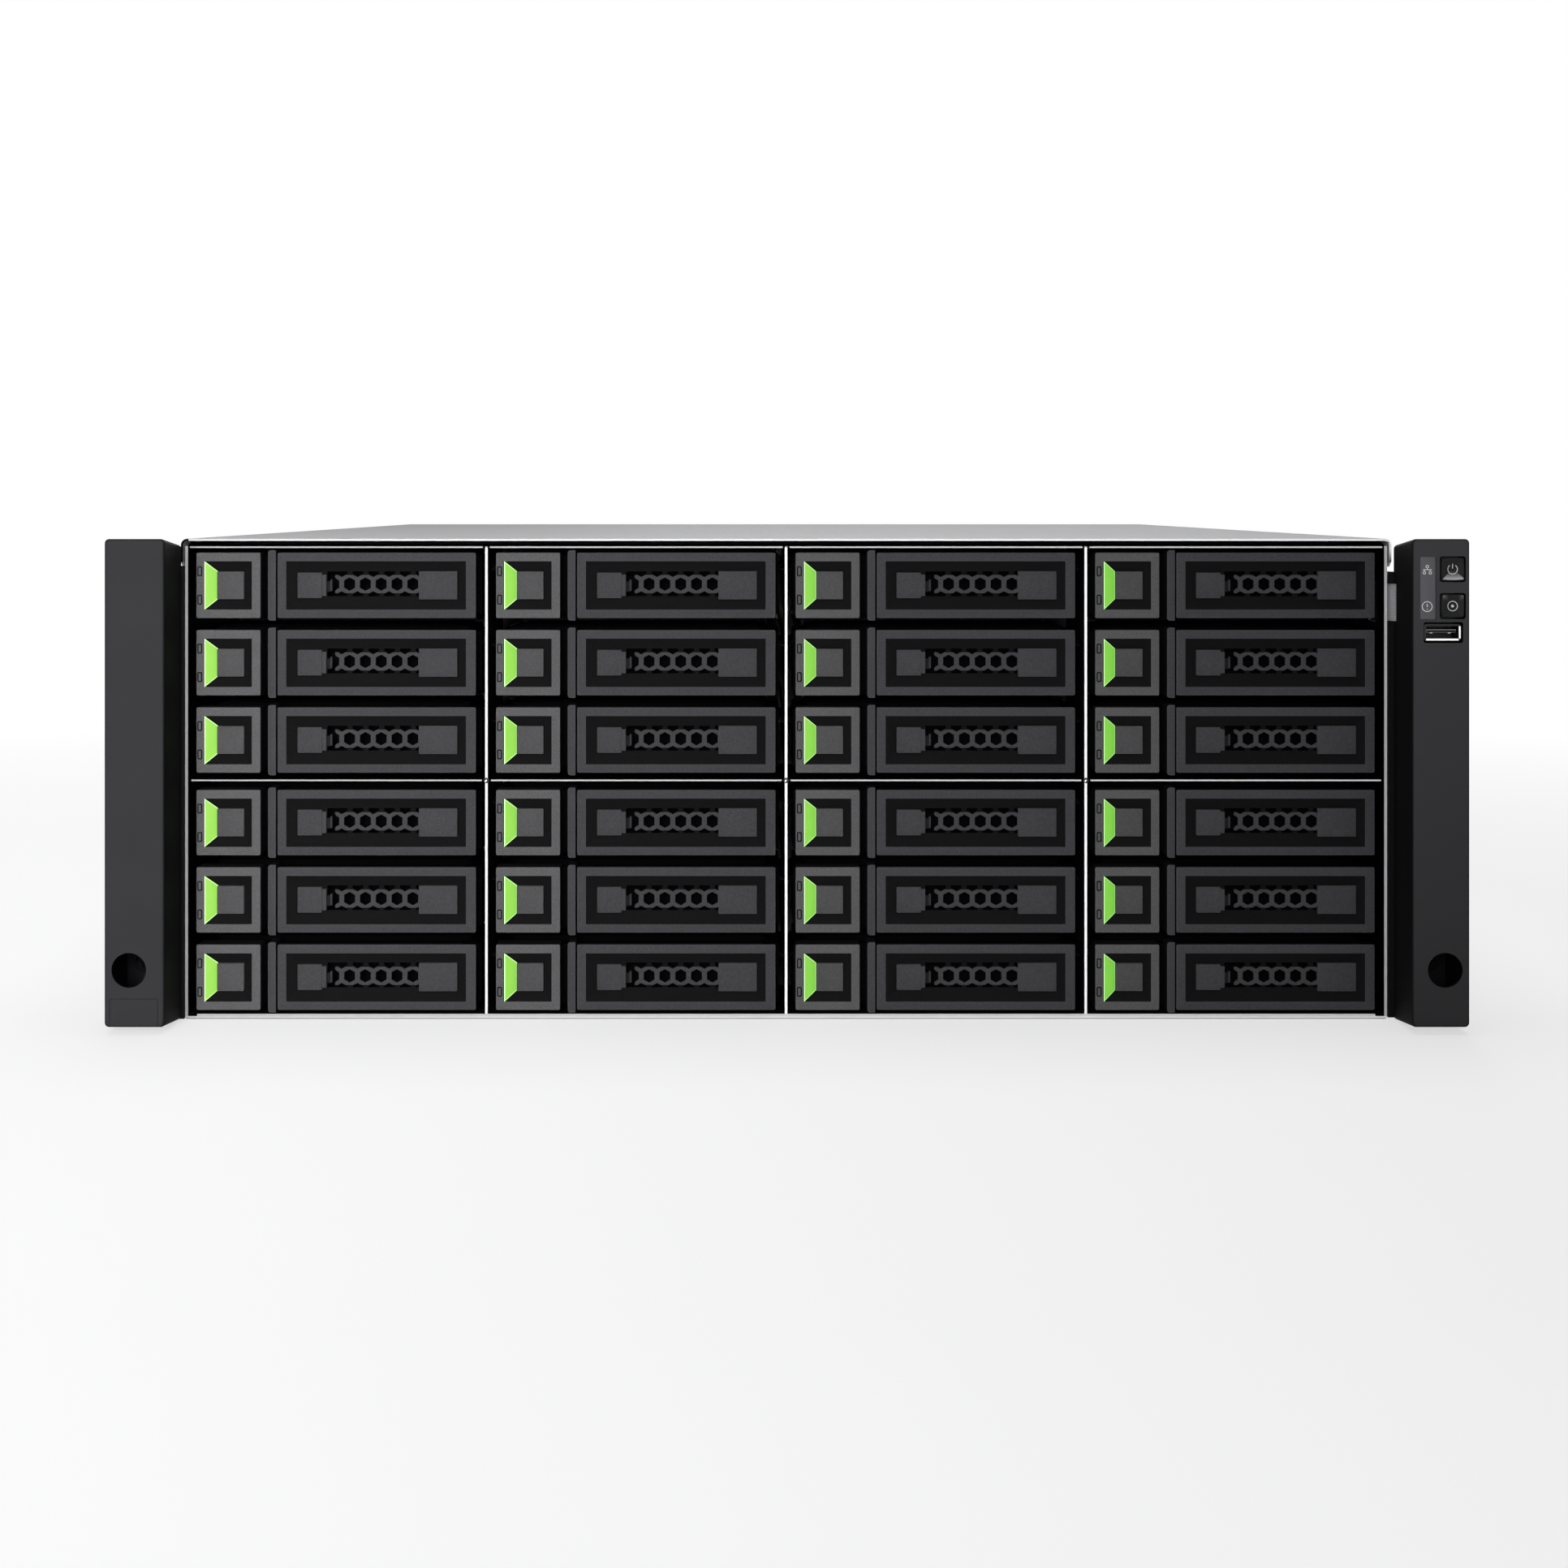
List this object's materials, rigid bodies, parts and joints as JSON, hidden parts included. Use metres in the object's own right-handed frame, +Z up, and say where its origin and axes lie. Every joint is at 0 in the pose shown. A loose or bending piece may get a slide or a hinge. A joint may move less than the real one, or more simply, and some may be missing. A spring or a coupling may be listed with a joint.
{
  "type": "disk shelf enclosure",
  "caption": "Rack-mounted storage enclosure with sliding drive carriers, hinged release levers, rack ears with an operator panel, and pull-out interface and power modules at the rear.",
  "frame": {"origin": "middle of the chassis width, in the plane of the rack rails (the back of the rack flanges), on the underside", "axes": "+Z up, +Y from the front to the rear, +X to the right when facing the front"},
  "size_m": [0.4826, 0.5675, 0.1754],
  "materials": {
    "zinc_steel": "satin, zinc-plated sheet",
    "cover_paint": "satin, zinc-plated sheet",
    "board": "solder-masked circuit board",
    "ear_plastic": "fine-grained black moulding",
    "button_plastic": "satin black",
    "module_steel": "satin, zinc-plated sheet",
    "carrier_body": "black moulding round a cast disk housing",
    "lever_plastic": "fine-grained dark grey moulding"
  },
  "bodies": {
    "enclosure": {"chassis": "zinc_steel", "top_cover": "cover_paint", "drive_cage": "zinc_steel", "midplane": "board", "ear_left": "ear_plastic", "ear_right": "ear_plastic"},
    "power_button": {"power_button": "button_plastic"},
    "locate_button": {"locate_button": "button_plastic"},
    "io_module_1": {"io_module_1": "module_steel"},
    "io_module_2": {"io_module_2": "module_steel"},
    "power_supply_1": {"power_supply_1": "module_steel"},
    "power_supply_2": {"power_supply_2": "module_steel"},
    "carrier_c1r1": {"carrier_c1r1": "carrier_body"},
    "lever_c1r1": {"lever_c1r1": "lever_plastic"},
    "carrier_c1r2": {"carrier_c1r2": "carrier_body"},
    "lever_c1r2": {"lever_c1r2": "lever_plastic"},
    "carrier_c1r3": {"carrier_c1r3": "carrier_body"},
    "lever_c1r3": {"lever_c1r3": "lever_plastic"},
    "carrier_c1r4": {"carrier_c1r4": "carrier_body"},
    "lever_c1r4": {"lever_c1r4": "lever_plastic"},
    "carrier_c1r5": {"carrier_c1r5": "carrier_body"},
    "lever_c1r5": {"lever_c1r5": "lever_plastic"},
    "carrier_c1r6": {"carrier_c1r6": "carrier_body"},
    "lever_c1r6": {"lever_c1r6": "lever_plastic"},
    "carrier_c2r1": {"carrier_c2r1": "carrier_body"},
    "lever_c2r1": {"lever_c2r1": "lever_plastic"},
    "carrier_c2r2": {"carrier_c2r2": "carrier_body"},
    "lever_c2r2": {"lever_c2r2": "lever_plastic"},
    "carrier_c2r3": {"carrier_c2r3": "carrier_body"},
    "lever_c2r3": {"lever_c2r3": "lever_plastic"},
    "carrier_c2r4": {"carrier_c2r4": "carrier_body"},
    "lever_c2r4": {"lever_c2r4": "lever_plastic"},
    "carrier_c2r5": {"carrier_c2r5": "carrier_body"},
    "lever_c2r5": {"lever_c2r5": "lever_plastic"},
    "carrier_c2r6": {"carrier_c2r6": "carrier_body"},
    "lever_c2r6": {"lever_c2r6": "lever_plastic"},
    "carrier_c3r1": {"carrier_c3r1": "carrier_body"},
    "lever_c3r1": {"lever_c3r1": "lever_plastic"},
    "carrier_c3r2": {"carrier_c3r2": "carrier_body"},
    "lever_c3r2": {"lever_c3r2": "lever_plastic"},
    "carrier_c3r3": {"carrier_c3r3": "carrier_body"},
    "lever_c3r3": {"lever_c3r3": "lever_plastic"},
    "carrier_c3r4": {"carrier_c3r4": "carrier_body"},
    "lever_c3r4": {"lever_c3r4": "lever_plastic"},
    "carrier_c3r5": {"carrier_c3r5": "carrier_body"},
    "lever_c3r5": {"lever_c3r5": "lever_plastic"},
    "carrier_c3r6": {"carrier_c3r6": "carrier_body"},
    "lever_c3r6": {"lever_c3r6": "lever_plastic"},
    "carrier_c4r1": {"carrier_c4r1": "carrier_body"},
    "lever_c4r1": {"lever_c4r1": "lever_plastic"},
    "carrier_c4r2": {"carrier_c4r2": "carrier_body"},
    "lever_c4r2": {"lever_c4r2": "lever_plastic"},
    "carrier_c4r3": {"carrier_c4r3": "carrier_body"},
    "lever_c4r3": {"lever_c4r3": "lever_plastic"},
    "carrier_c4r4": {"carrier_c4r4": "carrier_body"},
    "lever_c4r4": {"lever_c4r4": "lever_plastic"},
    "carrier_c4r5": {"carrier_c4r5": "carrier_body"},
    "lever_c4r5": {"lever_c4r5": "lever_plastic"},
    "carrier_c4r6": {"carrier_c4r6": "carrier_body"},
    "lever_c4r6": {"lever_c4r6": "lever_plastic"}
  },
  "joints": [
    {"name": "power_button_press", "type": "slide", "parent": "enclosure", "child": "power_button", "axis": [0, 1, 0], "range_m": [0, 0.0012], "stiffness_N_per_m": 400, "springref_m": -0.002},
    {"name": "locate_button_press", "type": "slide", "parent": "enclosure", "child": "locate_button", "axis": [0, 1, 0], "range_m": [0, 0.0012], "stiffness_N_per_m": 400, "springref_m": -0.002},
    {"name": "io_module_1_slide", "type": "slide", "parent": "enclosure", "child": "io_module_1", "axis": [0, 1, 0], "range_m": [0, 0.337]},
    {"name": "power_supply_1_slide", "type": "slide", "parent": "enclosure", "child": "power_supply_1", "axis": [0, 1, 0], "range_m": [0, 0.337]},
    {"name": "io_module_2_slide", "type": "slide", "parent": "enclosure", "child": "io_module_2", "axis": [0, 1, 0], "range_m": [0, 0.337]},
    {"name": "power_supply_2_slide", "type": "slide", "parent": "enclosure", "child": "power_supply_2", "axis": [0, 1, 0], "range_m": [0, 0.337]},
    {"name": "carrier_c1r1_slide", "type": "slide", "parent": "enclosure", "child": "carrier_c1r1", "axis": [0, -1, 0], "range_m": [0, 0.17]},
    {"name": "lever_c1r1_hinge", "type": "hinge", "parent": "carrier_c1r1", "child": "lever_c1r1", "pos_m": [-0.1177, 0.0052, 0.01505], "axis": [0, 0, 1], "range_deg": [0, 60]},
    {"name": "carrier_c4r6_slide", "type": "slide", "parent": "enclosure", "child": "carrier_c4r6", "axis": [0, -1, 0], "range_m": [0, 0.17]},
    {"name": "lever_c4r6_hinge", "type": "hinge", "parent": "carrier_c4r6", "child": "lever_c4r6", "pos_m": [0.21005, 0.0052, 0.15795], "axis": [0, 0, 1], "range_deg": [0, 60]},
    {"name": "carrier_c4r1_slide", "type": "slide", "parent": "enclosure", "child": "carrier_c4r1", "axis": [0, -1, 0], "range_m": [0, 0.17]},
    {"name": "lever_c4r1_hinge", "type": "hinge", "parent": "carrier_c4r1", "child": "lever_c4r1", "pos_m": [0.21005, 0.0052, 0.01505], "axis": [0, 0, 1], "range_deg": [0, 60]},
    {"name": "carrier_c1r6_slide", "type": "slide", "parent": "enclosure", "child": "carrier_c1r6", "axis": [0, -1, 0], "range_m": [0, 0.17]},
    {"name": "lever_c1r6_hinge", "type": "hinge", "parent": "carrier_c1r6", "child": "lever_c1r6", "pos_m": [-0.1177, 0.0052, 0.15795], "axis": [0, 0, 1], "range_deg": [0, 60]},
    {"name": "carrier_c2r3_slide", "type": "slide", "parent": "enclosure", "child": "carrier_c2r3", "axis": [0, -1, 0], "range_m": [0, 0.17]},
    {"name": "lever_c2r3_hinge", "type": "hinge", "parent": "carrier_c2r3", "child": "lever_c2r3", "pos_m": [-0.00845, 0.0052, 0.07145], "axis": [0, 0, 1], "range_deg": [0, 60]},
    {"name": "carrier_c3r4_slide", "type": "slide", "parent": "enclosure", "child": "carrier_c3r4", "axis": [0, -1, 0], "range_m": [0, 0.17]},
    {"name": "lever_c3r4_hinge", "type": "hinge", "parent": "carrier_c3r4", "child": "lever_c3r4", "pos_m": [0.1008, 0.0052, 0.10155], "axis": [0, 0, 1], "range_deg": [0, 60]},
    {"name": "carrier_c1r2_slide", "type": "slide", "parent": "enclosure", "child": "carrier_c1r2", "axis": [0, -1, 0], "range_m": [0, 0.17]},
    {"name": "lever_c1r2_hinge", "type": "hinge", "parent": "carrier_c1r2", "child": "lever_c1r2", "pos_m": [-0.1177, 0.0052, 0.04325], "axis": [0, 0, 1], "range_deg": [0, 60]},
    {"name": "carrier_c1r3_slide", "type": "slide", "parent": "enclosure", "child": "carrier_c1r3", "axis": [0, -1, 0], "range_m": [0, 0.17]},
    {"name": "lever_c1r3_hinge", "type": "hinge", "parent": "carrier_c1r3", "child": "lever_c1r3", "pos_m": [-0.1177, 0.0052, 0.07145], "axis": [0, 0, 1], "range_deg": [0, 60]},
    {"name": "carrier_c1r4_slide", "type": "slide", "parent": "enclosure", "child": "carrier_c1r4", "axis": [0, -1, 0], "range_m": [0, 0.17]},
    {"name": "lever_c1r4_hinge", "type": "hinge", "parent": "carrier_c1r4", "child": "lever_c1r4", "pos_m": [-0.1177, 0.0052, 0.10155], "axis": [0, 0, 1], "range_deg": [0, 60]},
    {"name": "carrier_c1r5_slide", "type": "slide", "parent": "enclosure", "child": "carrier_c1r5", "axis": [0, -1, 0], "range_m": [0, 0.17]},
    {"name": "lever_c1r5_hinge", "type": "hinge", "parent": "carrier_c1r5", "child": "lever_c1r5", "pos_m": [-0.1177, 0.0052, 0.12975], "axis": [0, 0, 1], "range_deg": [0, 60]},
    {"name": "carrier_c2r1_slide", "type": "slide", "parent": "enclosure", "child": "carrier_c2r1", "axis": [0, -1, 0], "range_m": [0, 0.17]},
    {"name": "lever_c2r1_hinge", "type": "hinge", "parent": "carrier_c2r1", "child": "lever_c2r1", "pos_m": [-0.00845, 0.0052, 0.01505], "axis": [0, 0, 1], "range_deg": [0, 60]},
    {"name": "carrier_c2r2_slide", "type": "slide", "parent": "enclosure", "child": "carrier_c2r2", "axis": [0, -1, 0], "range_m": [0, 0.17]},
    {"name": "lever_c2r2_hinge", "type": "hinge", "parent": "carrier_c2r2", "child": "lever_c2r2", "pos_m": [-0.00845, 0.0052, 0.04325], "axis": [0, 0, 1], "range_deg": [0, 60]},
    {"name": "carrier_c2r4_slide", "type": "slide", "parent": "enclosure", "child": "carrier_c2r4", "axis": [0, -1, 0], "range_m": [0, 0.17]},
    {"name": "lever_c2r4_hinge", "type": "hinge", "parent": "carrier_c2r4", "child": "lever_c2r4", "pos_m": [-0.00845, 0.0052, 0.10155], "axis": [0, 0, 1], "range_deg": [0, 60]},
    {"name": "carrier_c2r5_slide", "type": "slide", "parent": "enclosure", "child": "carrier_c2r5", "axis": [0, -1, 0], "range_m": [0, 0.17]},
    {"name": "lever_c2r5_hinge", "type": "hinge", "parent": "carrier_c2r5", "child": "lever_c2r5", "pos_m": [-0.00845, 0.0052, 0.12975], "axis": [0, 0, 1], "range_deg": [0, 60]},
    {"name": "carrier_c2r6_slide", "type": "slide", "parent": "enclosure", "child": "carrier_c2r6", "axis": [0, -1, 0], "range_m": [0, 0.17]},
    {"name": "lever_c2r6_hinge", "type": "hinge", "parent": "carrier_c2r6", "child": "lever_c2r6", "pos_m": [-0.00845, 0.0052, 0.15795], "axis": [0, 0, 1], "range_deg": [0, 60]},
    {"name": "carrier_c3r1_slide", "type": "slide", "parent": "enclosure", "child": "carrier_c3r1", "axis": [0, -1, 0], "range_m": [0, 0.17]},
    {"name": "lever_c3r1_hinge", "type": "hinge", "parent": "carrier_c3r1", "child": "lever_c3r1", "pos_m": [0.1008, 0.0052, 0.01505], "axis": [0, 0, 1], "range_deg": [0, 60]},
    {"name": "carrier_c3r2_slide", "type": "slide", "parent": "enclosure", "child": "carrier_c3r2", "axis": [0, -1, 0], "range_m": [0, 0.17]},
    {"name": "lever_c3r2_hinge", "type": "hinge", "parent": "carrier_c3r2", "child": "lever_c3r2", "pos_m": [0.1008, 0.0052, 0.04325], "axis": [0, 0, 1], "range_deg": [0, 60]},
    {"name": "carrier_c3r3_slide", "type": "slide", "parent": "enclosure", "child": "carrier_c3r3", "axis": [0, -1, 0], "range_m": [0, 0.17]},
    {"name": "lever_c3r3_hinge", "type": "hinge", "parent": "carrier_c3r3", "child": "lever_c3r3", "pos_m": [0.1008, 0.0052, 0.07145], "axis": [0, 0, 1], "range_deg": [0, 60]},
    {"name": "carrier_c3r5_slide", "type": "slide", "parent": "enclosure", "child": "carrier_c3r5", "axis": [0, -1, 0], "range_m": [0, 0.17]},
    {"name": "lever_c3r5_hinge", "type": "hinge", "parent": "carrier_c3r5", "child": "lever_c3r5", "pos_m": [0.1008, 0.0052, 0.12975], "axis": [0, 0, 1], "range_deg": [0, 60]},
    {"name": "carrier_c3r6_slide", "type": "slide", "parent": "enclosure", "child": "carrier_c3r6", "axis": [0, -1, 0], "range_m": [0, 0.17]},
    {"name": "lever_c3r6_hinge", "type": "hinge", "parent": "carrier_c3r6", "child": "lever_c3r6", "pos_m": [0.1008, 0.0052, 0.15795], "axis": [0, 0, 1], "range_deg": [0, 60]},
    {"name": "carrier_c4r2_slide", "type": "slide", "parent": "enclosure", "child": "carrier_c4r2", "axis": [0, -1, 0], "range_m": [0, 0.17]},
    {"name": "lever_c4r2_hinge", "type": "hinge", "parent": "carrier_c4r2", "child": "lever_c4r2", "pos_m": [0.21005, 0.0052, 0.04325], "axis": [0, 0, 1], "range_deg": [0, 60]},
    {"name": "carrier_c4r3_slide", "type": "slide", "parent": "enclosure", "child": "carrier_c4r3", "axis": [0, -1, 0], "range_m": [0, 0.17]},
    {"name": "lever_c4r3_hinge", "type": "hinge", "parent": "carrier_c4r3", "child": "lever_c4r3", "pos_m": [0.21005, 0.0052, 0.07145], "axis": [0, 0, 1], "range_deg": [0, 60]},
    {"name": "carrier_c4r4_slide", "type": "slide", "parent": "enclosure", "child": "carrier_c4r4", "axis": [0, -1, 0], "range_m": [0, 0.17]},
    {"name": "lever_c4r4_hinge", "type": "hinge", "parent": "carrier_c4r4", "child": "lever_c4r4", "pos_m": [0.21005, 0.0052, 0.10155], "axis": [0, 0, 1], "range_deg": [0, 60]},
    {"name": "carrier_c4r5_slide", "type": "slide", "parent": "enclosure", "child": "carrier_c4r5", "axis": [0, -1, 0], "range_m": [0, 0.17]},
    {"name": "lever_c4r5_hinge", "type": "hinge", "parent": "carrier_c4r5", "child": "lever_c4r5", "pos_m": [0.21005, 0.0052, 0.12975], "axis": [0, 0, 1], "range_deg": [0, 60]}
  ]
}
